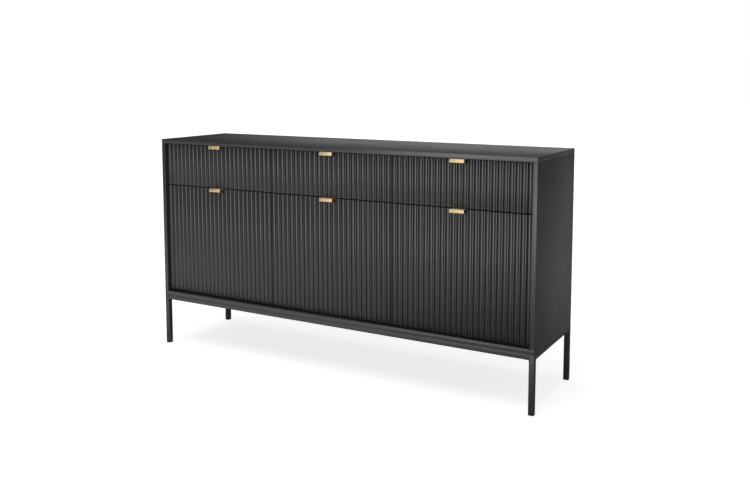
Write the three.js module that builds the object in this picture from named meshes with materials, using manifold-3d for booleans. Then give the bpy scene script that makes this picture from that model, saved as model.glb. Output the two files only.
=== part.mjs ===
// Sideboard with three drawers over three doors, on a square-tube steel base.
// Millimetres, +X to the right, +Y to the back, +Z up. The origin is on the floor, under the middle
// of the whole object, handles included.

import * as THREE from 'three';
import { mergeVertices } from 'three/addons/utils/BufferGeometryUtils.js';
import Module from 'manifold-3d';

const wasm = await Module();
wasm.setup();

// ---- Driving dimensions ----

const width = 1540; // over the side panels
const depth = 390; // front edges of the boards to the outer face of the back panel
const height = 822; // floor to the top face
const board = 16; // carcass boards and shelves
const backSheet = 3; // back panel
const backInset = 2; // edge of the back panel to the edge of the carcass

const baseHeight = 198; // floor to the underside of the bottom panel
const tube = 18; // square tube of the base, outside
const tubeWall = 1.5;
const glideFoot = 4; // thickness of the plastic foot under the tube
const glidePlug = 20; // length of the plug inside the tube
const plugClearance = 0.3; // plug to tube, all round

const frontThickness = 19; // drawer and door fronts, over the lands
const frontRecess = 13; // front edges of the boards to the lands of the fronts
const frontGap = 3; // beside each front
const topGap = 3; // top panel to drawer fronts
const rowGap = 3.5; // drawer fronts to doors
const bottomGap = 3.5; // doors to bottom panel
const drawerFrontHeight = 160;
const bumperGap = 2; // back of the fronts to the dividers

const flutePitch = 20; // wanted pitch, made to divide the front evenly
const fluteLand = 3.6; // flat between two flutes; half of it beside the first and the last
const fluteDepth = 6.5;
const fluteSteps = 5; // chords along each flute's arc

const handleLength = 52;
const handleSheet = 2;
const handleReach = 20.5; // lands to the outer face of the lip
const handleDrop = 12; // top face to the lower edge of the lip
const handleTab = 18; // part that hooks down behind the front
const handleBend = 4; // outer radius of the bends
const bendSteps = 4;

const drawerSide = 12; // wrap board
const drawerBoxHeight = 110;
const drawerBoxLift = 13; // lower edge of the front to the lower edge of the wrap
const drawerRearSpace = 35; // back of the wrap to the back panel
const drawerSheet = 3; // drawer bottom
const grooveLift = 10; // lower edge of the wrap to the groove
const grooveDepth = 5;
const grooveClearance = 0.3; // drawer bottom in its groove

const runnerSpace = 13; // carcass board to drawer side
const runnerSheet = 1.2;
const runnerDepth = 6; // each member, across the space
const cabinetMemberHeight = 45;
const drawerMemberHeight = 35;
const runnerSetback = 6; // back of the front to the runner
const runnerShorter = 20; // runner against the drawer box

const cupRadius = 17.5;
const cupDepth = 11.5;
const cupWall = 1;
const cupEdge = 22.5; // door edge to the middle of the cup
const cupFromEnd = 90; // door end to the middle of the cup
const cupClearance = 0.3; // cup in its bore
const cupSides = 24;
const flangeWidth = 34;
const flangeHeight = 60;
const flangeSheet = 1.2;
const armClearance = 0.4; // flange to the nose of the arm
const armNose = 14; // width of the nose, across the cup
const armThickness = 12;
const armHeight = 14;
const armLength = 78; // nose to tail
const plateSheet = 3;
const plateLength = 32;
const plateHeight = 50;

const shelfClearance = 1; // shelf to the boards beside it
const shelfSetback = 20; // dividers' front edge to the shelf's front edge
const shelfRearGap = 2;

// ---- Worked out from them ----

const handleProud = Math.max(0, handleReach - frontRecess);
const frontY = (handleProud - depth) / 2; // front edges of the boards
const backY = frontY + depth - backSheet; // rear edges of the boards
const landY = frontY + frontRecess;
const frontBackY = landY + frontThickness;
const dividerY = frontBackY + bumperGap;

const floorZ = baseHeight + board; // top of the bottom panel
const ceilingZ = height - board; // underside of the top panel
const drawerZ = ceilingZ - topGap - drawerFrontHeight;
const doorZ = floorZ + bottomGap;
const doorHeight = drawerZ - rowGap - doorZ;

const innerWidth = width - 2 * board;
const columnNames = ['left', 'middle', 'right'];
const columnCount = columnNames.length;
const frontWidth = (innerWidth - (columnCount + 1) * frontGap) / columnCount;
const columnPitch = frontWidth + frontGap;

// Each column: the left edge of its front, and the clear space between the boards beside it.
const columns = columnNames.map((name, index) => {
  const frontX = -innerWidth / 2 + frontGap + index * columnPitch;
  const seamLeft = frontX - frontGap / 2;
  const seamRight = seamLeft + columnPitch;
  return {
    name,
    frontX,
    innerLeft: index === 0 ? -innerWidth / 2 : seamLeft + board / 2,
    innerRight: index === columnCount - 1 ? innerWidth / 2 : seamRight - board / 2,
    hingeSide: index === columnCount - 1 ? 'right' : 'left',
  };
});

// ---- Materials ----

function finish(color, roughness, metalness) {
  return new THREE.MeshStandardMaterial({ color, roughness, metalness });
}

const blackBoard = finish(0x3c3c3e, 0.6, 0);
const blackLacquer = finish(0x3a3a3c, 0.5, 0);
const blackSteel = finish(0x2f2f31, 0.45, 0.3);
const brass = finish(0xd9b676, 0.32, 1);
const darkSheet = finish(0x4a4643, 0.8, 0);
const drawerBoard = finish(0x8d8d90, 0.7, 0);
const zincSteel = finish(0xb5b7ba, 0.4, 1);
const nickel = finish(0xc4c2bd, 0.3, 1);
const blackPlastic = finish(0x1d1d1f, 0.7, 0);

// ---- Shapes ----

function boxGeometry([x0, x1], [y0, y1], [z0, z1]) {
  const geometry = new THREE.BoxGeometry(x1 - x0, y1 - y0, z1 - z0);
  return geometry.translate((x0 + x1) / 2, (y0 + y1) / 2, (z0 + z1) / 2);
}

// A plan outline in X and Y, raised along Z.
function raised(shape, length) {
  return new THREE.ExtrudeGeometry(shape, { depth: length, bevelEnabled: false });
}

// A side outline in Y and Z, run along X.
function runAcross(shape, length) {
  const basis = new THREE.Matrix4().makeBasis(
    new THREE.Vector3(0, 1, 0), new THREE.Vector3(0, 0, 1), new THREE.Vector3(1, 0, 0));
  return raised(shape, length).applyMatrix4(basis);
}

// A front outline in X and Z, run back along Y.
function runBack(shape, length) {
  const basis = new THREE.Matrix4().makeBasis(
    new THREE.Vector3(1, 0, 0), new THREE.Vector3(0, 0, 1), new THREE.Vector3(0, -1, 0));
  return raised(shape, length).applyMatrix4(basis).translate(0, length, 0);
}

function outline(points) {
  return new THREE.Shape(points.map(([u, v]) => new THREE.Vector2(u, v)));
}

function solid(geometry) {
  const bare = geometry.clone();
  bare.deleteAttribute('normal');
  bare.deleteAttribute('uv');
  const merged = mergeVertices(bare);
  return new wasm.Manifold(new wasm.Mesh({
    numProp: 3,
    vertProperties: new Float32Array(merged.attributes.position.array),
    triVerts: new Uint32Array(merged.index.array),
  }));
}

function surface(manifold) {
  const mesh = manifold.getMesh();
  const geometry = new THREE.BufferGeometry();
  geometry.setAttribute('position', new THREE.BufferAttribute(mesh.vertProperties, mesh.numProp));
  geometry.setIndex(new THREE.BufferAttribute(mesh.triVerts, 1));
  geometry.computeVertexNormals();
  return geometry;
}

function joined(...geometries) {
  return geometries.map(solid).reduce((whole, piece) => whole.add(piece));
}

function place(group, name, geometry, material, position = [0, 0, 0]) {
  const mesh = new THREE.Mesh(geometry, material);
  mesh.name = name;
  mesh.position.set(...position);
  group.add(mesh);
}

// ---- Carcass: boards, back panel and shelves ----

const carcass = new THREE.Group();
const boardY = [frontY, backY];
const outerX = [-width / 2, width / 2];
const uprightZ = [floorZ, ceilingZ];

place(carcass, 'top_panel', boxGeometry(outerX, boardY, [ceilingZ, height]), blackBoard);
place(carcass, 'bottom_panel', boxGeometry(outerX, boardY, [baseHeight, floorZ]), blackBoard);
place(carcass, 'left_side_panel',
  boxGeometry([-width / 2, -innerWidth / 2], boardY, uprightZ), blackBoard);
place(carcass, 'right_side_panel',
  boxGeometry([innerWidth / 2, width / 2], boardY, uprightZ), blackBoard);
place(carcass, 'left_divider',
  boxGeometry([columns[0].innerRight, columns[1].innerLeft], [dividerY, backY], uprightZ), blackBoard);
place(carcass, 'right_divider',
  boxGeometry([columns[1].innerRight, columns[2].innerLeft], [dividerY, backY], uprightZ), blackBoard);
place(carcass, 'back_panel', boxGeometry(
  [-width / 2 + backInset, width / 2 - backInset],
  [backY, backY + backSheet],
  [baseHeight + backInset, height - backInset]), darkSheet);

for (const column of columns) {
  const shelfZ = (floorZ + doorZ + doorHeight - board) / 2;
  place(carcass, `${column.name}_shelf`, boxGeometry(
    [column.innerLeft + shelfClearance, column.innerRight - shelfClearance],
    [dividerY + shelfSetback, backY - shelfRearGap],
    [shelfZ, shelfZ + board]), blackBoard);
}

// ---- Base: two welded side frames, two long rails and four glides ----

const base = new THREE.Group();
const baseFrontY = frontY;
const baseBackY = frontY + depth - backSheet;
const railZ = [baseHeight - tube, baseHeight];

function shrunk([low, high]) {
  return [low + tubeWall, high - tubeWall];
}

function sideFrame(x) {
  const frontLegY = [baseFrontY, baseFrontY + tube];
  const rearLegY = [baseBackY - tube, baseBackY];
  const legZ = [glideFoot, baseHeight];
  const boreZ = [glideFoot - 1, baseHeight - tubeWall];
  const outside = joined(
    boxGeometry(x, frontLegY, legZ),
    boxGeometry(x, rearLegY, legZ),
    boxGeometry(x, [baseFrontY + tube, baseBackY - tube], railZ));
  const inside = joined(
    boxGeometry(shrunk(x), shrunk(frontLegY), boreZ),
    boxGeometry(shrunk(x), shrunk(rearLegY), boreZ),
    boxGeometry(shrunk(x), [baseFrontY + tubeWall, baseBackY - tubeWall], shrunk(railZ)));
  return surface(outside.subtract(inside));
}

const leftFrameX = [-width / 2, -width / 2 + tube];
const rightFrameX = [width / 2 - tube, width / 2];
place(base, 'left_side_frame', sideFrame(leftFrameX), blackSteel);
place(base, 'right_side_frame', sideFrame(rightFrameX), blackSteel);

function longRail() {
  const section = outline([[0, 0], [tube, 0], [tube, tube], [0, tube]]);
  const [low, high] = [tubeWall, tube - tubeWall];
  section.holes.push(outline([[low, low], [low, high], [high, high], [high, low]]));
  return runAcross(section, rightFrameX[0] - leftFrameX[1]);
}

place(base, 'front_long_rail', longRail(), blackSteel, [leftFrameX[1], baseFrontY, railZ[0]]);
place(base, 'rear_long_rail', longRail(), blackSteel, [leftFrameX[1], baseBackY - tube, railZ[0]]);

function glide() {
  const plug = tube - 2 * tubeWall - 2 * plugClearance;
  return surface(joined(
    boxGeometry([-tube / 2, tube / 2], [-tube / 2, tube / 2], [0, glideFoot]),
    boxGeometry([-plug / 2, plug / 2], [-plug / 2, plug / 2], [0, glideFoot + glidePlug])));
}

for (const [side, x] of [['left', leftFrameX[0]], ['right', rightFrameX[0]]]) {
  for (const [end, y] of [['front', baseFrontY], ['rear', baseBackY - tube]]) {
    place(base, `${end}_${side}_glide`, glide(), blackPlastic, [x + tube / 2, y + tube / 2, 0]);
  }
}

// ---- Fluted fronts and their handles ----

// Plan outline of a front: lands on y = 0, a round-bottomed flute in each pitch, flat back.
function flutedOutline() {
  const count = Math.round(frontWidth / flutePitch);
  const pitch = frontWidth / count;
  const halfFlute = (pitch - fluteLand) / 2;
  const radius = (halfFlute ** 2 + fluteDepth ** 2) / (2 * fluteDepth);
  const halfAngle = Math.asin(halfFlute / radius);
  const points = [[0, 0]];
  for (let flute = 0; flute < count; flute += 1) {
    const middle = (flute + 0.5) * pitch;
    for (let step = 0; step <= fluteSteps; step += 1) {
      const angle = halfAngle * (2 * step / fluteSteps - 1);
      points.push([
        middle + radius * Math.sin(angle),
        radius * Math.cos(angle) - radius + fluteDepth,
      ]);
    }
  }
  points.push([frontWidth, 0], [frontWidth, frontThickness], [0, frontThickness]);
  return outline(points);
}

function arcPoints(middleY, middleZ, radius, from, to) {
  return Array.from({ length: bendSteps + 1 }, (_, step) => {
    const angle = from + (to - from) * step / bendSteps;
    return [middleY + radius * Math.cos(angle), middleZ + radius * Math.sin(angle)];
  });
}

// Bent sheet in side view: y = 0 on the lands, z = 0 on the top edge of the front.
function handleGeometry() {
  const right = Math.PI / 2;
  const innerBend = handleBend - handleSheet;
  const topZ = handleSheet;
  const lipY = -handleReach;
  const tailY = frontThickness + handleSheet;
  const profile = outline([
    [lipY, topZ - handleDrop],
    ...arcPoints(lipY + handleBend, topZ - handleBend, handleBend, 2 * right, right),
    [tailY, topZ],
    [tailY, -handleTab],
    [frontThickness, -handleTab],
    [frontThickness, 0],
    ...arcPoints(lipY + handleBend, topZ - handleBend, innerBend, right, 2 * right),
    [lipY + handleSheet, topZ - handleDrop],
  ]);
  return runAcross(profile, handleLength).translate(-handleLength / 2, 0, 0);
}

// ---- Drawers ----

// Two sides and a back folded from one grooved board.
function wrapGeometry(boxWidth, boxLength) {
  const inner = boxWidth - drawerSide;
  const inside = boxLength - drawerSide;
  const plan = outline([
    [0, 0], [drawerSide, 0], [drawerSide, inside], [inner, inside],
    [inner, 0], [boxWidth, 0], [boxWidth, boxLength], [0, boxLength],
  ]);
  const cut = drawerSide - grooveDepth;
  const groove = boxGeometry(
    [cut, boxWidth - cut], [-1, boxLength - cut],
    [grooveLift, grooveLift + drawerSheet + 2 * grooveClearance]);
  return surface(solid(raised(plan, drawerBoxHeight)).subtract(solid(groove)));
}

function drawerBottomGeometry(boxWidth, boxLength) {
  const inset = drawerSide - grooveDepth + grooveClearance;
  const low = grooveLift + grooveClearance;
  return boxGeometry([inset, boxWidth - inset], [0, boxLength - inset], [low, low + drawerSheet]);
}

// Channel with its web on u = 0, open towards +u.
function channelOutline(memberHeight, direction) {
  const half = memberHeight / 2;
  return outline([
    [0, -half], [runnerDepth, -half], [runnerDepth, runnerSheet - half],
    [runnerSheet, runnerSheet - half], [runnerSheet, half - runnerSheet],
    [runnerDepth, half - runnerSheet], [runnerDepth, half], [0, half],
  ].map(([u, v]) => [direction * u, v]));
}

const drawers = new THREE.Group();
const drawerBoxLength = backY - drawerRearSpace - frontBackY;
const runnerLength = drawerBoxLength - runnerShorter;

for (const { name, frontX, innerLeft, innerRight } of columns) {
  const drawer = new THREE.Group();
  drawer.position.set(frontX, landY, drawerZ);
  place(drawer, `${name}_drawer_front`, raised(flutedOutline(), drawerFrontHeight), blackLacquer);
  place(drawer, `${name}_drawer_handle`, handleGeometry(), brass,
    [frontWidth / 2, 0, drawerFrontHeight]);

  const boxWidth = innerRight - innerLeft - 2 * runnerSpace;
  const boxX = innerLeft + runnerSpace - frontX;
  const boxCorner = [boxX, frontThickness, drawerBoxLift];
  place(drawer, `${name}_drawer_wrap`, wrapGeometry(boxWidth, drawerBoxLength), drawerBoard, boxCorner);
  place(drawer, `${name}_drawer_bottom`, drawerBottomGeometry(boxWidth, drawerBoxLength),
    darkSheet, boxCorner);

  const runnerY = frontThickness + runnerSetback;
  const runnerZ = drawerBoxLift + drawerBoxHeight / 2;
  const sides = [['left', innerLeft - frontX, 1], ['right', innerRight - frontX, -1]];
  for (const [side, boardX, inward] of sides) {
    place(drawer, `${name}_drawer_${side}_cabinet_runner`,
      runBack(channelOutline(cabinetMemberHeight, inward), runnerLength), zincSteel,
      [boardX, runnerY, runnerZ]);
    place(drawer, `${name}_drawer_${side}_drawer_runner`,
      runBack(channelOutline(drawerMemberHeight, -inward), runnerLength), zincSteel,
      [boardX + inward * runnerSpace, runnerY, runnerZ]);
  }
  drawers.add(drawer);
}

// ---- Doors and their concealed hinges ----

function cupBore() {
  return new THREE.CylinderGeometry(
    cupRadius + cupClearance, cupRadius + cupClearance, 2 * (cupDepth + cupClearance), cupSides);
}

function doorGeometry(cupX, cupHeights) {
  const panel = solid(raised(flutedOutline(), doorHeight));
  return surface(cupHeights.reduce(
    (body, z) => body.subtract(solid(cupBore().translate(cupX, frontThickness, z))), panel));
}

// Cup with its screw flange; y = 0 on the back of the door, the cup reaching forwards.
function cupGeometry() {
  const bowl = new THREE.CylinderGeometry(cupRadius, cupRadius, cupDepth, cupSides);
  const hollow = new THREE.CylinderGeometry(
    cupRadius - cupWall, cupRadius - cupWall, cupDepth + 2 * flangeSheet, cupSides);
  const flange = boxGeometry(
    [-flangeWidth / 2, flangeWidth / 2], [0, flangeSheet], [-flangeHeight / 2, flangeHeight / 2]);
  return surface(joined(bowl.translate(0, -cupDepth / 2, 0), flange)
    .subtract(solid(hollow.translate(0, cupWall + flangeSheet - cupDepth / 2, 0))));
}

// Cranked arm and its plate: x = 0 on the carcass board, y = 0 on the back of the door.
function armGeometry(reach, inward) {
  const noseY = flangeSheet + armClearance;
  const tailY = noseY + armLength;
  const plateY = tailY - plateLength;
  const plan = [
    [reach - armNose / 2, noseY], [reach + armNose / 2, noseY],
    [reach + armNose / 2, noseY + armThickness], [armThickness, plateY],
    [armThickness, tailY], [0, tailY], [0, plateY - armThickness],
    [reach - armNose / 2, noseY + armThickness / 2],
  ].map(([u, v]) => [inward * u, v]);
  const arm = raised(outline(plan), armHeight).translate(0, 0, -armHeight / 2);
  const plate = boxGeometry(
    inward > 0 ? [0, plateSheet] : [-plateSheet, 0],
    [plateY, tailY], [-plateHeight / 2, plateHeight / 2]);
  return surface(joined(arm, plate));
}

const doors = new THREE.Group();
const cupHeights = [['lower', cupFromEnd], ['upper', doorHeight - cupFromEnd]];

for (const { name, frontX, innerLeft, innerRight, hingeSide } of columns) {
  const door = new THREE.Group();
  door.position.set(frontX, landY, doorZ);
  const inward = hingeSide === 'left' ? 1 : -1;
  const cupX = hingeSide === 'left' ? cupEdge : frontWidth - cupEdge;
  const boardX = (hingeSide === 'left' ? innerLeft : innerRight) - frontX;
  place(door, `${name}_door`, doorGeometry(cupX, cupHeights.map(([, z]) => z)), blackLacquer);
  place(door, `${name}_door_handle`, handleGeometry(), brass, [frontWidth / 2, 0, doorHeight]);
  for (const [level, z] of cupHeights) {
    place(door, `${name}_door_${level}_hinge_cup`, cupGeometry(), nickel, [cupX, frontThickness, z]);
    place(door, `${name}_door_${level}_hinge_arm`,
      armGeometry(Math.abs(cupX - boardX), inward), nickel, [boardX, frontThickness, z]);
  }
  doors.add(door);
}

const sideboard = new THREE.Group();
sideboard.add(carcass, base, drawers, doors);

export default sideboard;
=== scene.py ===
import math

import bmesh
import bpy
from mathutils import Matrix, Vector


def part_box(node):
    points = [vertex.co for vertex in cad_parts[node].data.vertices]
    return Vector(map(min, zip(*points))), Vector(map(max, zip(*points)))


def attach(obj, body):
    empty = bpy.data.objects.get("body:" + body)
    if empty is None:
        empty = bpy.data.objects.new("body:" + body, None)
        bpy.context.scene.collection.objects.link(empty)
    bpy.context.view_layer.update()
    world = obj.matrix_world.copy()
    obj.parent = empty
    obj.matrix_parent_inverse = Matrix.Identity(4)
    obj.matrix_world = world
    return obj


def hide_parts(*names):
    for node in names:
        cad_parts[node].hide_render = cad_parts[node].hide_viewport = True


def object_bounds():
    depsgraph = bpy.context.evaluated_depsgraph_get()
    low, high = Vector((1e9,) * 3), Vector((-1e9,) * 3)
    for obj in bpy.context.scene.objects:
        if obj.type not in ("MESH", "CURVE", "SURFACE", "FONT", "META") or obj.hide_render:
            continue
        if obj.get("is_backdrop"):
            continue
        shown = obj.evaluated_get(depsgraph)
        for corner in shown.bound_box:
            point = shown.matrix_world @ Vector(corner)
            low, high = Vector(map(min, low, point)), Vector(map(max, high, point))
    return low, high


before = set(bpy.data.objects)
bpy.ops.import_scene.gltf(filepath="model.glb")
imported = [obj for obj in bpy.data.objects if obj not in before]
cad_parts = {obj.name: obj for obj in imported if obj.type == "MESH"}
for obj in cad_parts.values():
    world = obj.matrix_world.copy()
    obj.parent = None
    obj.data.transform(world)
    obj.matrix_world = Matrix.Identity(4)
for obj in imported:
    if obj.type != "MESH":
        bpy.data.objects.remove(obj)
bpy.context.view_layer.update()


# ---- Steel base -------------------------------------------------------------------------------
# Two U-shaped side frames and two long rails of 18 mm square tube, welded at the corners and
# powder coated black all over. The coat lies a little thicker and duller in some places.

def shader_group(name, inputs, outputs):
    group = bpy.data.node_groups.new(name, "ShaderNodeTree")
    for socket, kind, value in inputs:
        made = group.interface.new_socket(socket, in_out="INPUT", socket_type="NodeSocket" + kind)
        made.default_value = value
    for socket, kind in outputs:
        group.interface.new_socket(socket, in_out="OUTPUT", socket_type="NodeSocket" + kind)
    return group, group.nodes.new("NodeGroupInput"), group.nodes.new("NodeGroupOutput")


def add_node(tree, kind, inputs=None, **settings):
    node = tree.nodes.new("ShaderNode" + kind)
    for key, value in settings.items():
        setattr(node, key, value)
    for socket, value in (inputs or {}).items():
        if isinstance(value, bpy.types.NodeSocket):
            tree.links.new(value, node.inputs[socket])
        else:
            node.inputs[socket].default_value = value
    return node


def make_grain_group():
    """Cloudy grain, 0 to 1, in metres on the piece; Stretch draws it out along an axis."""
    group, given, out = shader_group(
        "surface_grain",
        [("Scale", "Float", 200.0), ("Stretch", "Vector", (1, 1, 1)), ("Detail", "Float", 3.0)],
        [("Value", "Float")],
    )
    place = add_node(group, "TexCoord")
    drawn = add_node(group, "VectorMath", {0: place.outputs["Object"], 1: given.outputs["Stretch"]},
                     operation="MULTIPLY")
    noise = add_node(group, "TexNoise", {
        "Vector": drawn.outputs[0], "Scale": given.outputs["Scale"],
        "Detail": given.outputs["Detail"], "Roughness": 0.55})
    group.links.new(noise.outputs["Fac"], out.inputs["Value"])
    return group


def make_arris_group():
    """Eased edges: a normal rounded over Width, and a mask that is 1 along the edges."""
    group, given, out = shader_group(
        "eased_arris", [("Width", "Float", 0.001)], [("Mask", "Float"), ("Normal", "Vector")])
    eased = add_node(group, "Bevel", {"Radius": given.outputs["Width"]}, samples=6)
    flat = add_node(group, "NewGeometry")
    turned = add_node(group, "VectorMath", {0: eased.outputs[0], 1: flat.outputs["True Normal"]},
                      operation="DOT_PRODUCT")
    edge = add_node(group, "MapRange", {
        "Value": turned.outputs["Value"], "From Min": 0.99, "From Max": 0.75})
    group.links.new(edge.outputs[0], out.inputs["Mask"])
    group.links.new(eased.outputs[0], out.inputs["Normal"])
    return group


surface_grain = make_grain_group()
eased_arris = make_arris_group()


def grain(tree, scale, stretch=(1, 1, 1), detail=3.0):
    node = add_node(tree, "Group", node_tree=surface_grain)
    node.inputs["Scale"].default_value = scale
    node.inputs["Stretch"].default_value = stretch
    node.inputs["Detail"].default_value = detail
    return node.outputs["Value"]


def blend_colour(tree, mask, first, second):
    mix = add_node(tree, "Mix", {0: mask}, data_type="RGBA")
    for slot, colour in ((6, first), (7, second)):
        if isinstance(colour, bpy.types.NodeSocket):
            tree.links.new(colour, mix.inputs[slot])
        else:
            mix.inputs[slot].default_value = (*colour, 1)
    return mix.outputs[2]


def new_finish(name, metallic=0.0):
    material = bpy.data.materials.new(name)
    material.use_nodes = True
    shader = material.node_tree.nodes["Principled BSDF"]
    shader.inputs["Metallic"].default_value = metallic
    return material, material.node_tree, shader


wear_scale = 90.0


def coated(name, colour, cloudy, worn, roughness, cloud, texture, depth, arris, metallic=0.0,
           specular=0.5):
    """A coat or foil: cloudy colour and gloss, a fine bump, and eased edges worn a little paler."""
    material, tree, shader = new_finish(name, metallic)
    shader.inputs["Specular IOR Level"].default_value = specular
    edge = add_node(tree, "Group", node_tree=eased_arris)
    edge.inputs["Width"].default_value = arris
    clouds = grain(tree, *cloud)
    rubbed = add_node(tree, "Math", {0: edge.outputs["Mask"], 1: grain(tree, wear_scale)},
                      operation="MULTIPLY")
    tint = blend_colour(tree, clouds, colour, cloudy)
    tint = blend_colour(tree, rubbed.outputs[0], tint, worn)
    gloss = add_node(tree, "MapRange", {
        "Value": clouds, "From Min": 0.3, "From Max": 0.7,
        "To Min": roughness[0], "To Max": roughness[1]})
    bump = add_node(tree, "Bump", {
        "Height": grain(tree, *texture), "Normal": edge.outputs["Normal"],
        "Strength": 1.0, "Distance": depth})
    tree.links.new(tint, shader.inputs["Base Color"])
    tree.links.new(gloss.outputs[0], shader.inputs["Roughness"])
    tree.links.new(bump.outputs[0], shader.inputs["Normal"])
    return material


merge_distance = 0.000002
flat_angle = math.radians(1)
sharp_angle = math.radians(30)


def ease(shape, width, angle=sharp_angle, segments=2):
    """Rounds over every edge that turns by more than the angle."""
    sharp = [e for e in shape.edges if e.calc_face_angle(0) > angle]
    bmesh.ops.bevel(shape, geom=sharp, offset=width, affect="EDGES", segments=segments,
                    profile=0.5, material=-1, clamp_overlap=True)


def eased_copy(node, width, segments=2):
    """The node's shape with its flat faces made whole and its sharp edges rounded over."""
    shape = bmesh.new()
    shape.from_mesh(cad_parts[node].data)
    bmesh.ops.remove_doubles(shape, verts=shape.verts, dist=merge_distance)
    bmesh.ops.dissolve_limit(shape, angle_limit=flat_angle, verts=shape.verts, edges=shape.edges)
    ease(shape, width, segments=segments)
    return shape


def put(shape, name, material, body, slot, *replaced):
    """Makes the finished shape a piece that rides on a body, in the place of its CAD nodes."""
    for face in shape.faces:
        face.smooth = True
    for edge in shape.edges:
        edge.smooth = edge.calc_face_angle(0) < sharp_angle
    mesh = bpy.data.meshes.new(name)
    shape.to_mesh(mesh)
    shape.free()
    mesh.materials.append(material)
    piece = bpy.data.objects.new(name, mesh)
    bpy.context.collection.objects.link(piece)
    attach(piece, body)
    if replaced:
        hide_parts(*replaced)
    return piece


def facing(along):
    return Vector(along).to_track_quat("Z", "Y").to_matrix().to_4x4()


def weld_bead(shape, start, end):
    """Overlapping ripples laid along a corner."""
    start, end = Vector(start), Vector(end)
    ripples = int((end - start).length / ripple_step) - 1
    for ripple in range(ripples):
        place = start.lerp(end, (ripple + 1) / (ripples + 1))
        bmesh.ops.create_uvsphere(
            shape, u_segments=10, v_segments=6, radius=1.0,
            matrix=Matrix.Translation(place) @ facing(end - start)
            @ Matrix.Diagonal((bead_size, bead_size, ripple_step, 1.0)))


def dress(material, *nodes):
    for node in nodes:
        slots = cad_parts[node].data.materials
        slots.clear()
        slots.append(material)


powder_coat = coated(
    "black_powder_coat", colour=(0.012, 0.012, 0.013), cloudy=(0.016, 0.016, 0.017),
    worn=(0.03, 0.03, 0.031), roughness=(0.36, 0.44), specular=1.0, cloud=(14.0,),
    texture=(1400.0, (1, 1, 1), 2.0), depth=0.00014, arris=0.0016)
tube_corner = 0.0016
ripple_step = 0.0016
bead_size = 0.0024
for node in ("left_side_frame", "right_side_frame", "front_long_rail", "rear_long_rail"):
    put(eased_copy(node, tube_corner, 3), f"{node}_tube", powder_coat, "carcass", "base_steel",
        node)

beads = bmesh.new()
for rail in ("front_long_rail", "rear_long_rail"):
    (rail_left, rail_front, rail_foot), (rail_right, rail_rear, rail_head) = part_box(rail)
    inner_y = rail_rear if rail == "front_long_rail" else rail_front
    for end_x, outer_x in ((rail_left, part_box("left_side_frame")[0][0]),
                           (rail_right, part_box("right_side_frame")[1][0])):
        weld_bead(beads, (end_x, rail_front, rail_foot), (end_x, rail_rear, rail_foot))
        weld_bead(beads, (end_x, inner_y, rail_foot), (end_x, inner_y, rail_head))
        weld_bead(beads, (end_x, inner_y, rail_foot), (outer_x, inner_y, rail_foot))
put(beads, "base_weld_beads", powder_coat, "carcass", "base_steel")


# ---- Glides -----------------------------------------------------------------------------------
# A moulded black plastic plug closes each leg and stands on the floor on a 4 mm foot.

glide_plastic = coated(
    "glide_plastic", colour=(0.01, 0.01, 0.01), cloudy=(0.013, 0.013, 0.013),
    worn=(0.02, 0.02, 0.02), roughness=(0.5, 0.62), cloud=(60.0,),
    texture=(2500.0, (1, 1, 1), 2.0), depth=0.00004, arris=0.0008)
glide_corner = 0.0012
for end in ("front", "rear"):
    for side in ("left", "right"):
        put(eased_copy(f"{end}_{side}_glide", glide_corner), f"{end}_{side}_moulded_glide",
            glide_plastic, "carcass", "glide_plastic", f"{end}_{side}_glide")


# ---- Carcass boards and shelves ---------------------------------------------------------------
# 16 mm boards faced in matte black foil with a very fine grain. The top and the bottom lie over
# the two sides, and the dividers stand back behind the fronts. Cam fittings hold them together.

board_foil = coated(
    "black_board_foil", colour=(0.014, 0.014, 0.015), cloudy=(0.018, 0.018, 0.019),
    worn=(0.03, 0.03, 0.03), roughness=(0.32, 0.38), specular=1.0, cloud=(5.0, (1, 3, 3), 4.0),
    texture=(700.0, (0.2, 1, 1), 4.0), depth=0.00009, arris=0.0009)
board_arris = 0.0006
for node in ("top_panel", "bottom_panel", "left_shelf", "middle_shelf", "right_shelf"):
    put(eased_copy(node, board_arris), f"{node}_board", board_foil, "carcass", "board", node)


def turned(shape, middle, along, foot, top, height, sides):
    """A round piece about its middle, with the radii of its foot and of its top."""
    return bmesh.ops.create_cone(
        shape, cap_ends=True, segments=sides, radius1=foot, radius2=top, depth=height,
        matrix=Matrix.Translation(middle) @ facing(along))["verts"]


def bored(shape, mouths, radius, depth, along, sides=24):
    """The shape with round holes sunk into it; each mouth is the middle of a hole's rim."""
    drill = bmesh.new()
    for mouth in mouths:
        turned(drill, mouth, along, radius, radius, 2 * depth, sides)
    bench = []
    for part in (shape, drill):
        mesh = bpy.data.meshes.new("bench")
        part.to_mesh(mesh)
        part.free()
        bench.append(bpy.data.objects.new("bench", mesh))
        bpy.context.collection.objects.link(bench[-1])
    cut = bench[0].modifiers.new("bore", "BOOLEAN")
    cut.object, cut.operation, cut.solver = bench[1], "DIFFERENCE", "EXACT"
    made = bmesh.new()
    made.from_object(bench[0], bpy.context.evaluated_depsgraph_get())
    for part in bench:
        mesh = part.data
        bpy.data.objects.remove(part)
        bpy.data.meshes.remove(mesh)
    return made


# The shelves lie on steel pins in rows of holes, and a plastic cap hides each cam fitting.

columns = ("left", "middle", "right")
pin_radius = 0.0025
pin_reach = 0.009
collar_radius = 0.0042
collar_reach = 0.0012
pin_pitch = 0.032
pin_inset = 0.055
hole_depth = 0.008
cap_radius = 0.0085
cap_top = cap_radius * 0.94
cap_height = 0.0007
cap_inset = 0.05
cap_lift = 0.034

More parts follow.
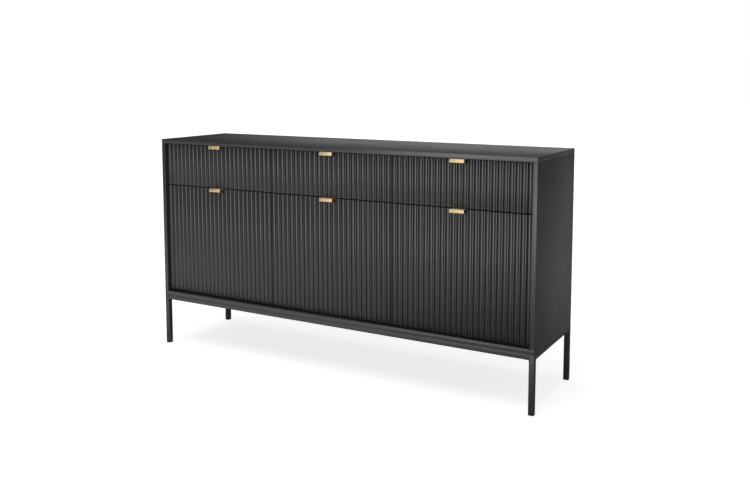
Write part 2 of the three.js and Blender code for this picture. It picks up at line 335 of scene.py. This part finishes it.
pin_steel = coated(
    "bright_pin_steel", colour=(0.5, 0.5, 0.51), cloudy=(0.58, 0.58, 0.58),
    worn=(0.66, 0.66, 0.66), roughness=(0.22, 0.32), cloud=(120.0,),
    texture=(1500.0, (1, 1, 1), 2.0), depth=0.00001, arris=0.0003, metallic=1.0)
holes = {"left_side_panel": [], "left_divider": [], "right_divider": [], "right_side_panel": []}
pins = bmesh.new()
caps = bmesh.new()
for column, uprights in zip(columns, (("left_side_panel", "left_divider"),
                                      ("left_divider", "right_divider"),
                                      ("right_divider", "right_side_panel"))):
    (_, shelf_front, shelf_foot), (_, shelf_rear, _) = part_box(f"{column}_shelf")
    for upright, inward in zip(uprights, (1, -1)):
        low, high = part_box(upright)
        face_x = high[0] if inward > 0 else low[0]
        for y in (shelf_front + pin_inset, shelf_rear - pin_inset):
            pin_z = shelf_foot - pin_radius
            holes[upright] += [((face_x, y, pin_z + step * pin_pitch), inward)
                               for step in (-2, -1, 1, 2)]
            for radius, reach in ((pin_radius, pin_reach), (collar_radius, collar_reach)):
                turned(pins, (face_x + inward * reach / 2, y, pin_z), (inward, 0, 0),
                       radius, radius, reach, 20)
        for y in (low[1] + cap_inset, high[1] - cap_inset):
            for z in (low[2] + cap_lift, high[2] - cap_lift):
                turned(caps, (face_x + inward * cap_height / 2, y, z), (inward, 0, 0),
                       cap_radius, cap_top, cap_height, 24)
for upright, places in holes.items():
    put(bored(eased_copy(upright, board_arris), [mouth for mouth, _ in places], pin_radius,
              hole_depth, (1, 0, 0)),
        f"{upright}_board", board_foil, "carcass", "board", upright)
put(pins, "shelf_pins", pin_steel, "carcass", "zinc_steel")
put(caps, "cam_caps", glide_plastic, "carcass", "glide_plastic")


# ---- Back panel and drawer bottoms ------------------------------------------------------------
# 3 mm hardboard, dark brown black, with short fibres in its face.

hardboard = coated(
    "dark_hardboard", colour=(0.034, 0.028, 0.023), cloudy=(0.075, 0.064, 0.053),
    worn=(0.1, 0.085, 0.07), roughness=(0.62, 0.78), cloud=(140.0, (0.4, 1, 1), 6.0),
    texture=(1300.0, (0.4, 1, 1), 4.0), depth=0.00014, arris=0.0005)
dress(hardboard, "left_drawer_bottom", "middle_drawer_bottom", "right_drawer_bottom")

# The back is nailed on round its edge and up the dividers, each head driven just under the face.

back_arris = 0.0004
nail_edge = 0.007
nail_from_side = 0.05
nail_from_end = 0.06
nail_spacing = 0.11
nail_radius = 0.0019
nail_sink = 0.0007
nail_head = nail_radius * 0.92
nail_crown = nail_radius * 0.7
nail_height = nail_sink * 0.8
nail_middle = nail_sink * 0.6
(back_left, _, back_foot), (back_right, back_face, back_head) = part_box("back_panel")
divider_boxes = [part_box(divider) for divider in ("left_divider", "right_divider")]
nail_rows = [back_left + nail_edge, back_right - nail_edge]
nail_rows += [(low[0] + high[0]) / 2 for low, high in divider_boxes]


def spaced(start, end, spacing):
    count = max(1, round((end - start) / spacing))
    return [start + (end - start) * step / count for step in range(count + 1)]


nails = [(x, back_face, z)
         for x in spaced(back_left + nail_from_side, back_right - nail_from_side, nail_spacing)
         for z in (back_foot + nail_edge, back_head - nail_edge)]
nails += [(x, back_face, z) for x in nail_rows
          for z in spaced(back_foot + nail_from_end, back_head - nail_from_end, nail_spacing)]
put(bored(eased_copy("back_panel", back_arris), nails, nail_radius, nail_sink, (0, 1, 0), 12),
    "nailed_back_panel", hardboard, "carcass", "back_board", "back_panel")
heads = bmesh.new()
for x, y, z in nails:
    turned(heads, (x, y - nail_middle, z), (0, 1, 0), nail_head, nail_crown, nail_height, 12)
put(heads, "back_nails", pin_steel, "carcass", "zinc_steel")


# ---- Runners ----------------------------------------------------------------------------------
# Each drawer runs on two pairs of rolled channels in zinc-plated steel, 300 mm long. Three screws
# fix each channel, and a plastic roller turns at its front or its rear end.

zinc = coated(
    "zinc_plated_steel", colour=(0.42, 0.43, 0.45), cloudy=(0.52, 0.53, 0.54),
    worn=(0.6, 0.6, 0.62), roughness=(0.3, 0.42), cloud=(45.0, (1, 1, 1), 2.0),
    texture=(500.0, (1, 0.05, 1), 3.0), depth=0.00003, arris=0.0004, metallic=1.0)
roller_plastic = coated(
    "grey_roller_plastic", colour=(0.3, 0.3, 0.3), cloudy=(0.36, 0.36, 0.36),
    worn=(0.45, 0.45, 0.45), roughness=(0.4, 0.5), cloud=(90.0,),
    texture=(1800.0, (1, 1, 1), 2.0), depth=0.00002, arris=0.0004)
fold_radius = 0.0004
roller_radius = 0.0085
roller_width = 0.0036
roller_drop = 0.0075
roller_inset = 0.012
roller_clearance = 0.0003
roller_rim = 0.0006
rim_angle = math.radians(60)
axle_radius = 0.0028
axle_height = 0.0006
axle_seat = 0.0002
screw_radius = 0.0032
screw_height = 0.0014
screw_from_front = 0.037
screw_from_rear = 0.032
screw_rise = 0.004
sheet_steel = 0.0012


def screw_head(shape, seat, along, radius, height):
    """A domed screw head with a socket, standing on its seat."""
    along = Vector(along).normalized()
    head = turned(shape, Vector(seat) + along * height / 2, along, radius, radius * 0.72, height,
                  12)
    shape.normal_update()
    top = max({f for v in head for f in v.link_faces}, key=lambda f: f.normal.dot(along))
    bmesh.ops.inset_individual(shape, faces=[top], thickness=radius * 0.32)
    bmesh.ops.translate(shape, vec=-along * height * 0.6, verts=top.verts)


for column in columns:
    for side, inward in (("left", 1), ("right", -1)):
        for member, body, web, open_side in (
                ("cabinet", "carcass", 0 if inward > 0 else 1, inward),
                ("drawer", f"{column}_drawer", 1 if inward > 0 else 0, -inward)):
            node = f"{column}_drawer_{side}_{member}_runner"
            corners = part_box(node)
            (_, front_y, foot_z), (_, rear_y, head_z) = corners
            web_x = corners[web][0] + open_side * sheet_steel
            middle_z = (foot_z + head_z) / 2
            put(eased_copy(node, fold_radius), f"{node}_channel", zinc, body, "zinc_steel", node)
            fixings = bmesh.new()
            for y in (front_y + screw_from_front, (front_y + rear_y) / 2,
                      rear_y - screw_from_rear):
                screw_head(fixings, (web_x, y, middle_z + screw_rise), (open_side, 0, 0),
                           screw_radius, screw_height)
            put(fixings, f"{node}_screws", zinc, body, "zinc_steel")
            roller_y = front_y + roller_inset if member == "cabinet" else rear_y - roller_inset
            roller_x = web_x + open_side * (roller_width / 2 + roller_clearance)
            roller_z = middle_z - roller_drop
            roller = bmesh.new()
            turned(roller, (roller_x, roller_y, roller_z), (open_side, 0, 0),
                   roller_radius, roller_radius, roller_width, 28)
            ease(roller, roller_rim, rim_angle)
            screw_head(roller, (web_x + open_side * (roller_width + axle_seat), roller_y, roller_z),
                       (open_side, 0, 0), axle_radius, axle_height)
            put(roller, f"{node}_roller", roller_plastic, body, "glide_plastic")


# ---- Drawer boxes -----------------------------------------------------------------------------
# The two sides and the back are one 12 mm board, grooved for the bottom and folded at the
# corners, in a dark grey foil with a fine linen print. Plastic covers hide the front fixings.

wrap_foil = coated(
    "grey_wrap_foil", colour=(0.075, 0.075, 0.078), cloudy=(0.1, 0.1, 0.104),
    worn=(0.16, 0.16, 0.16), roughness=(0.5, 0.6), cloud=(700.0, (1, 1, 0.1), 2.0),
    texture=(900.0, (0.1, 0.1, 1), 2.0), depth=0.00005, arris=0.0006)
wrap_arris = 0.0006
wrap_side = 0.012
cover_foot = 0.0075
cover_top = 0.007
cover_inset = 0.024
cover_from_foot = 0.035
cover_from_head = 0.025
for column in columns:
    node = f"{column}_drawer_wrap"
    (wrap_left, wrap_front, wrap_foot), (wrap_right, _, wrap_head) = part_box(node)
    put(eased_copy(node, wrap_arris), f"{column}_drawer_folded_box", wrap_foil,
        f"{column}_drawer", "drawer_board", node)
    covers = bmesh.new()
    for face_x, inward in ((wrap_left + wrap_side, 1), (wrap_right - wrap_side, -1)):
        for z in (wrap_foot + cover_from_foot, wrap_head - cover_from_head):
            turned(covers, (face_x + inward * cap_height / 2, wrap_front + cover_inset, z),
                   (inward, 0, 0), cover_foot, cover_top, cap_height, 24)
    put(covers, f"{column}_drawer_fixing_covers", glide_plastic, f"{column}_drawer",
        "glide_plastic")


# ---- Fluted fronts ----------------------------------------------------------------------------
# 19 mm fibreboard, milled with 25 round-bottomed flutes and lacquered in satin black. The
# lacquer pulls back a little from the sharp edges of the lands.

lacquer = coated(
    "satin_black_lacquer", colour=(0.009, 0.009, 0.0095), cloudy=(0.012, 0.012, 0.0125),
    worn=(0.035, 0.035, 0.036), roughness=(0.29, 0.35), specular=1.0, cloud=(9.0, (1, 1, 0.4), 4.0),
    texture=(520.0, (1, 1, 0.5), 3.0), depth=0.00008, arris=0.0006)
flute_pitch = 0.02
flute_land = 0.0036
flute_depth = 0.0065
flute_steps = 12
arris_width = 0.0004


def move_new(shape, made, offset):
    moved = [v for v in made if isinstance(v, bmesh.types.BMVert)]
    bmesh.ops.translate(shape, vec=offset, verts=moved)


def milled_front(node):
    """A run of flutes drawn along the top view of the board, closed round its back and raised."""
    (left, land_y, foot), (right, back_y, head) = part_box(node)
    count = round((right - left) / flute_pitch)
    pitch = (right - left) / count
    half = (pitch - flute_land) / 2
    radius = (half ** 2 + flute_depth ** 2) / (2 * flute_depth)
    shape = bmesh.new()
    first = shape.verts.new((left + flute_land / 2, land_y, foot))
    bmesh.ops.spin(shape, geom=[first], axis=(0, 0, 1), angle=-2 * math.asin(half / radius),
                   steps=flute_steps, cent=(left + pitch / 2, land_y + flute_depth - radius, foot))
    flute = list(shape.verts) + list(shape.edges)
    for step in range(1, count):
        copy = bmesh.ops.duplicate(shape, geom=flute)["geom"]
        move_new(shape, copy, (step * pitch, 0, 0))
    ends = sorted((v for v in shape.verts if len(v.link_edges) == 1), key=lambda v: v.co.x)
    around = [shape.verts.new((x, y, foot)) for x, y in
              ((left, land_y), (left, back_y), (right, back_y), (right, land_y))]
    lands = [(ends[-1], around[3]), (around[0], ends[0]), *zip(ends[1:-1:2], ends[2::2])]
    for pair in lands + list(zip(around, around[1:])):
        shape.edges.new(pair)
    plan = bmesh.ops.contextual_create(shape, geom=list(shape.edges))["faces"]
    move_new(shape, bmesh.ops.extrude_face_region(shape, geom=plan)["geom"], (0, 0, head - foot))
    bmesh.ops.recalc_face_normals(shape, faces=shape.faces)
    ease(shape, arris_width)
    return shape


for column in columns:
    put(milled_front(f"{column}_drawer_front"), f"{column}_drawer_milled_front", lacquer,
        f"{column}_drawer", "lacquer", f"{column}_drawer_front")


# Each door is bored from behind for its two 35 mm cups before it is lacquered.

cup_bore_radius = 0.0178
cup_bore_depth = 0.0118
for column in columns:
    back_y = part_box(f"{column}_door")[1][1]
    cups = [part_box(f"{column}_door_{level}_hinge_cup") for level in ("lower", "upper")]
    mouths = [((low[0] + high[0]) / 2, back_y, (low[2] + high[2]) / 2) for low, high in cups]
    put(bored(milled_front(f"{column}_door"), mouths, cup_bore_radius, cup_bore_depth,
              (0, 1, 0), 48),
        f"{column}_door_milled_front", lacquer, f"{column}_door", "lacquer", f"{column}_door")

# A soft pad at each free corner meets the divider when the door shuts.

bumper_radius = 0.004
bumper_top = bumper_radius * 0.8
bumper_height = 0.0018
bumper_inset = 0.0048
bumper_from_end = 0.02
for column in columns:
    (door_left, _, door_foot), (door_right, back_y, door_head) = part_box(f"{column}_door")
    free_x = door_left + bumper_inset if column == "right" else door_right - bumper_inset
    bumpers = bmesh.new()
    for z in (door_foot + bumper_from_end, door_head - bumper_from_end):
        turned(bumpers, (free_x, back_y + bumper_height / 2, z), (0, 1, 0),
               bumper_radius, bumper_top, bumper_height, 20)
    put(bumpers, f"{column}_door_bumpers", glide_plastic, f"{column}_door", "glide_plastic")


# ---- Concealed hinges -------------------------------------------------------------------------
# Each door hangs on two nickel-plated cup hinges: a cup in the door, an arm on the board. The
# links between cup and arm are left out.

nickel = coated(
    "nickel_plate", colour=(0.5, 0.49, 0.46), cloudy=(0.58, 0.57, 0.54),
    worn=(0.65, 0.64, 0.62), roughness=(0.2, 0.3), cloud=(80.0,),
    texture=(900.0, (1, 1, 1), 2.0), depth=0.00002, arris=0.0008, metallic=1.0)
cup_arris = 0.0004
flange_screw_offset = 0.024
flange_screw_radius = 0.0034
flange_screw_height = 0.0003
arm_arris = 0.0012
plate_screw_offset = 0.018
plate_screw_seat = 0.003
plate_screw_back = 0.016
plate_screw_radius = 0.0036
plate_screw_height = 0.0016
arm_screw_seat = 0.012
arm_screw_backs = (0.008, 0.024)
arm_screw_radius = 0.003
arm_screw_height = 0.0012
for column in columns:
    inward = -1 if column == "right" else 1
    for level in ("lower", "upper"):
        cup, arm = f"{column}_door_{level}_hinge_cup", f"{column}_door_{level}_hinge_arm"
        put(eased_copy(cup, cup_arris), f"{cup}_pressing", nickel, f"{column}_door", "nickel",
            cup)
        put(eased_copy(arm, arm_arris), f"{arm}_pressing", nickel, "carcass", "nickel", arm)
        cup_low, cup_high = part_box(cup)
        arm_low, arm_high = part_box(arm)
        middle = ((cup_low[0] + cup_high[0]) / 2, cup_high[1], (cup_low[2] + cup_high[2]) / 2)
        screws = bmesh.new()
        for side in (-1, 1):
            screw_head(screws, (middle[0], middle[1], middle[2] + side * flange_screw_offset),
                       (0, 1, 0), flange_screw_radius, flange_screw_height)
        put(screws, f"{cup}_screws", nickel, f"{column}_door", "nickel")
        board_x = arm_low[0] if inward > 0 else arm_high[0]
        fixings = bmesh.new()
        for side in (-1, 1):
            screw_head(fixings, (board_x + inward * plate_screw_seat,
                                 arm_high[1] - plate_screw_back,
                                 middle[2] + side * plate_screw_offset),
                       (inward, 0, 0), plate_screw_radius, plate_screw_height)
        for back in arm_screw_backs:
            screw_head(fixings, (board_x + inward * arm_screw_seat, arm_high[1] - back, middle[2]),
                       (inward, 0, 0), arm_screw_radius, arm_screw_height)
        put(fixings, f"{arm}_screws", nickel, "carcass", "nickel")


# ---- Edge pulls -------------------------------------------------------------------------------
# 2 mm brass sheet, brushed along its length, folded over the top edge of each front.

brushed_brass = coated(
    "brushed_brass", colour=(0.77, 0.595, 0.36), cloudy=(0.86, 0.665, 0.415),
    worn=(0.9, 0.75, 0.53), roughness=(0.46, 0.6), cloud=(1500.0, (0.015, 1, 1), 3.0),
    texture=(3000.0, (0.01, 1, 1), 2.0), depth=0.000008, arris=0.0005, metallic=1.0)
pull_sheet = 0.002
pull_lip = 0.012
lip_bend = 0.004
tab_bend = 0.0026
bend_steps = 8
pull_arris = 0.0003
pull_angle = math.radians(40)


def drawn(shape, tip, offset):
    new = bmesh.ops.extrude_vert_indiv(shape, verts=[tip])["verts"][0]
    new.co += Vector(offset)
    return new


def bent(shape, tip, middle):
    """A quarter turn downwards and back about the middle, seen from the left end."""
    geometry = bmesh.ops.spin(shape, geom=[tip], cent=middle, axis=(1, 0, 0),
                              angle=-math.pi / 2, steps=bend_steps)["geom_last"]
    return next(v for v in geometry if isinstance(v, bmesh.types.BMVert))


def folded_pull(node):
    """Outer face of the sheet drawn from the lip to the tab, run across, then thickened inwards."""
    (left, lip_y, tab_foot), (right, tab_y, top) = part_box(node)
    shape = bmesh.new()
    tip = shape.verts.new((left, lip_y, top - pull_lip))
    tip = drawn(shape, tip, (0, 0, pull_lip - lip_bend))
    tip = bent(shape, tip, (left, lip_y + lip_bend, top - lip_bend))
    tip = drawn(shape, tip, (0, tab_y - tab_bend - lip_y - lip_bend, 0))
    tip = bent(shape, tip, (left, tab_y - tab_bend, top - tab_bend))
    drawn(shape, tip, (0, 0, tab_foot - top + tab_bend))
    run = bmesh.ops.extrude_edge_only(shape, edges=list(shape.edges))["geom"]
    move_new(shape, run, (right - left, 0, 0))
    bmesh.ops.recalc_face_normals(shape, faces=shape.faces)
    shape.normal_update()
    if max(shape.faces, key=lambda f: f.calc_center_median().z).normal.z < 0:
        bmesh.ops.reverse_faces(shape, faces=shape.faces)
    bmesh.ops.solidify(shape, geom=shape.faces, thickness=pull_sheet)
    bmesh.ops.recalc_face_normals(shape, faces=shape.faces)
    ease(shape, pull_arris, pull_angle)
    return shape


for column in columns:
    for front in ("drawer", "door"):
        node = f"{column}_{front}_handle"
        put(folded_pull(node), f"{column}_{front}_folded_pull", brushed_brass,
            f"{column}_{front}", "handle_brass", node)


# ---- Floor, light and camera ------------------------------------------------------------------
# A pale floor in a white studio, lit softly from overhead, from the front and low on the left.
# The coats mirror a room that is brightest in front, with a glow low on the right, a bright
# window behind, and more light on the floor at the front left.

def shade_when_seen(tree, seen, unseen, output):
    """One shader for what the camera sees, and another for what lights and reflects."""
    path = add_node(tree, "LightPath")
    mix = add_node(tree, "MixShader", {0: path.outputs["Is Camera Ray"], 1: unseen, 2: seen})
    tree.links.new(mix.outputs[0], output)


floor_size = 60.0
floor_mesh = bpy.data.meshes.new("studio_floor")
floor_shape = bmesh.new()
bmesh.ops.create_grid(floor_shape, x_segments=1, y_segments=1, size=floor_size / 2)
floor_shape.to_mesh(floor_mesh)
floor_shape.free()
studio_floor = bpy.data.objects.new("studio_floor", floor_mesh)
bpy.context.collection.objects.link(studio_floor)
floor_paint, floor_tree, floor_shader = new_finish("pale_floor_paint")
floor_shader.inputs["Base Color"].default_value = (0.9, 0.9, 0.9, 1)
floor_shader.inputs["Roughness"].default_value = 0.9
floor_shader.inputs["Specular IOR Level"].default_value = 0.0
floor_shader.inputs["Emission Color"].default_value = (1, 1, 1, 1)
floor_place = add_node(floor_tree, "TexCoord")
floor_distance = add_node(floor_tree, "VectorMath", {0: floor_place.outputs["Object"]},
                          operation="LENGTH")
floor_lift = add_node(floor_tree, "MapRange", {
    "Value": floor_distance.outputs["Value"], "From Min": 1.0, "From Max": 5.0,
    "To Min": 0.7, "To Max": 1.0})
floor_tree.links.new(floor_lift.outputs[0], floor_shader.inputs["Emission Strength"])
# For what lights and reflects, the floor's colour is painted light: lighter towards the front and a
# little to the left, darker towards the back.
towards_light = add_node(floor_tree, "VectorMath", {
    0: floor_place.outputs["Object"], 1: (-0.4, -1.0, 0)}, operation="DOT_PRODUCT")
painted_floor_light = add_node(floor_tree, "MapRange", {
    "Value": towards_light.outputs["Value"], "From Min": -0.4, "From Max": 0.8,
    "To Min": 0.22, "To Max": 0.85})
floor_bounce = add_node(floor_tree, "BsdfDiffuse", {"Color": painted_floor_light.outputs[0]})


def far_glow(tree, place, along, start, end, glow):
    """Brightness that grows from 0 to glow along a direction."""
    reach = add_node(tree, "VectorMath", {0: place, 1: along}, operation="DOT_PRODUCT")
    return add_node(tree, "MapRange", {
        "Value": reach.outputs["Value"], "From Min": start, "From Max": end,
        "To Min": 0.0, "To Max": glow}).outputs[0]


# Painted glows on the floor, at the back right and the front left, stand in for light falling
# there; only reflections and bounced light see them.
on_floor = floor_place.outputs["Object"]
back_right_glow = far_glow(floor_tree, on_floor, along=(0.4, 0.5, 0), start=0.1, end=1.2, glow=0.2)
front_left_glow = far_glow(floor_tree, on_floor, along=(-0.6, -0.8, 0), start=0.3, end=3.0,
                           glow=0.3)
floor_glow = add_node(floor_tree, "Math", {0: back_right_glow, 1: front_left_glow},
                      operation="ADD")
floor_shine = add_node(floor_tree, "Emission", {"Strength": floor_glow.outputs[0]})
floor_unseen = add_node(floor_tree, "AddShader", {0: floor_bounce.outputs[0],
                                                  1: floor_shine.outputs[0]})
shade_when_seen(floor_tree, floor_shader.outputs[0], floor_unseen.outputs[0],
                floor_tree.nodes["Material Output"].inputs["Surface"])
floor_mesh.materials.append(floor_paint)
studio_floor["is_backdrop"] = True

world = bpy.data.worlds.new("white_studio")
bpy.context.scene.world = world
world.use_nodes = True
room = world.node_tree
backdrop = room.nodes["Background"]
backdrop.inputs["Color"].default_value = (1, 1, 1, 1)
direction = add_node(room, "TexCoord")
towards_window = add_node(room, "VectorMath", {
    0: direction.outputs["Generated"], 1: (0.1, -0.6, 0.6)}, operation="DOT_PRODUCT")
room_grey = add_node(room, "MapRange", {
    "Value": towards_window.outputs["Value"], "From Min": -0.5, "From Max": 0.8,
    "To Min": 0.025, "To Max": 0.25})
side_glow = far_glow(room, direction.outputs["Generated"], along=(0.8, 0.6, -0.3), start=-0.05,
                     end=0.35, glow=0.1)
window_glow = far_glow(room, direction.outputs["Generated"], along=(-0.35, 0.93, 0.1), start=0.93,
                       end=0.98, glow=0.4)
back_glow = add_node(room, "Math", {0: side_glow, 1: window_glow}, operation="ADD").outputs[0]
room_light = add_node(room, "Math", {0: room_grey.outputs[0], 1: back_glow}, operation="ADD")
room_glow = add_node(room, "Background", {"Color": room_light.outputs[0]})
shade_when_seen(room, backdrop.outputs[0], room_glow.outputs[0],
                room.nodes["World Output"].inputs["Surface"])


def soft_light(name, place, target, size, watts):
    lamp = bpy.data.lights.new(name, "AREA")
    lamp.shape = "RECTANGLE"
    lamp.size, lamp.size_y = size
    lamp.energy = watts
    light = bpy.data.objects.new(name, lamp)
    light.location = place
    light.rotation_euler = (Vector(target) - Vector(place)).to_track_quat("-Z", "Y").to_euler()
    light.visible_camera = False
    bpy.context.collection.objects.link(light)


soft_light("overhead_softbox", place=(-0.3, -0.9, 3.2), target=(-0.3, -0.6, 0),
           size=(3.0, 3.0), watts=40)
soft_light("front_softbox", place=(0.24, -2.6, 0.9), target=(0.24, 0, 0.9),
           size=(1.95, 1.56), watts=19)
soft_light("near_floor_bounce", place=(-0.9, -0.75, 0.03), target=(-0.9, -0.74, 2.0),
           size=(2.0, 0.8), watts=1.4)

sky = bpy.data.objects.new("even_sky", bpy.data.lights.new("even_sky", "SUN"))
sky.data.energy = 0.15
sky.data.angle = math.radians(120)
bpy.context.collection.objects.link(sky)

tilt_down = 5.74
turn_left = 29.49
lens_length = 41.2176
camera = bpy.data.objects.new("camera", bpy.data.cameras.new("camera"))
bpy.context.collection.objects.link(camera)
camera.location = (1.624, -2.71625, 1.078)
camera.rotation_euler = (math.radians(90 - tilt_down), 0, math.radians(turn_left))
camera.data.sensor_width = 36.0
camera.data.lens = lens_length
camera.data.shift_y = -0.12
bpy.context.scene.camera = camera
bpy.context.scene.view_settings.view_transform = "Standard"

low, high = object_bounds()
